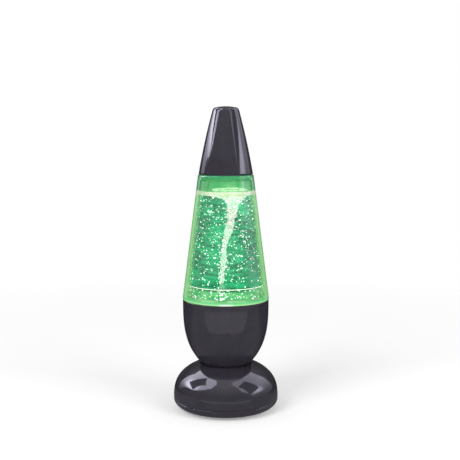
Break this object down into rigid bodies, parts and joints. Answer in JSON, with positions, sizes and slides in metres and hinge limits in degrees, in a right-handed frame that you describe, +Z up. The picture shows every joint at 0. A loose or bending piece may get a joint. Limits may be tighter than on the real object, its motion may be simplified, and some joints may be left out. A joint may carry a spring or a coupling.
{
  "type": "tornado lamp",
  "caption": "Battery table lamp: a domed foot and an egg-shaped cup hold a tapered clear globe of tinted liquid, in which a magnet-driven impeller spins a vortex under a tapered cap.",
  "frame": {"origin": "on the table under the middle of the lamp, at the height of the rubber pads' undersides", "axes": "+Z up along the lamp's axis, the front towards -Y, the switch at the back towards +Y"},
  "size_m": [0.0794, 0.0794, 0.2286],
  "materials": {
    "black_plastic": "gloss",
    "dark_plastic": "satin",
    "clear_plastic": "gloss",
    "liquid": "gloss",
    "white_plastic": "satin",
    "steel": "satin",
    "magnet": "polished",
    "board": "satin",
    "led": "gloss",
    "cell_sleeve": "satin",
    "rubber": "matte",
    "red_lead": "satin",
    "black_lead": "satin"
  },
  "bodies": {
    "root": {"cap": "black_plastic", "filler_plug": "rubber", "globe": "clear_plastic", "globe_floor": "clear_plastic", "liquid": "liquid", "impeller_guard": "clear_plastic", "impeller_pin": "steel", "body_shell": "black_plastic", "motor_bracket": "dark_plastic", "bracket_screw_1": "steel", "bracket_screw_2": "steel", "bracket_screw_3": "steel", "motor_can": "steel", "motor_end_cap": "white_plastic", "motor_screw_1": "steel", "motor_screw_2": "steel", "led_board": "board", "led_1": "led", "led_2": "led", "led_3": "led", "led_4": "led", "base_shell": "black_plastic", "neck_screw_1": "steel", "neck_screw_2": "steel", "neck_screw_3": "steel", "base_plate": "black_plastic", "base_screw_1": "steel", "base_screw_2": "steel", "base_screw_3": "steel", "battery_1": "cell_sleeve", "battery_2": "cell_sleeve", "battery_3": "cell_sleeve", "contact_spring_1": "steel", "contact_spring_2": "steel", "contact_spring_3": "steel", "contact_plate_negative": "steel", "contact_plate_positive": "steel", "contact_bridge_left": "steel", "contact_bridge_right": "steel", "switch_body": "steel", "switch_screw_1": "steel", "switch_screw_2": "steel", "foot_pad_1": "rubber", "foot_pad_2": "rubber", "foot_pad_3": "rubber", "foot_pad_4": "rubber", "lead_negative": "black_lead", "lead_positive": "red_lead", "lead_switched": "red_lead", "lead_board": "red_lead"},
    "rotor": {"motor_shaft": "steel", "magnet_carrier": "dark_plastic", "drive_magnet_1": "magnet", "drive_magnet_2": "magnet"},
    "stirrer": {"impeller": "white_plastic", "impeller_magnet_1": "magnet", "impeller_magnet_2": "magnet"},
    "door": {"battery_door": "black_plastic", "door_screw": "steel"},
    "knob": {"switch_knob": "dark_plastic"}
  },
  "joints": [
    {"name": "motor_spin", "type": "hinge", "parent": "root", "child": "rotor", "pos_m": [0, 0, 0.071], "axis": [0, 0, 1], "continuous": true},
    {"name": "impeller_spin", "type": "hinge", "parent": "root", "child": "stirrer", "pos_m": [0, 0, 0.0879], "axis": [0, 0, 1], "continuous": true},
    {"name": "switch_slide", "type": "slide", "parent": "root", "child": "knob", "axis": [1, 0, 0], "range_m": [-0.004, 0]},
    {"name": "door_hinge", "type": "hinge", "parent": "root", "child": "door", "pos_m": [0, -0.01715, 0.001], "axis": [-1, 0, 0], "range_deg": [0, 75]}
  ],
  "couplings": [
    {"joint": "impeller_spin", "follows": "motor_spin", "ratio": 1}
  ]
}
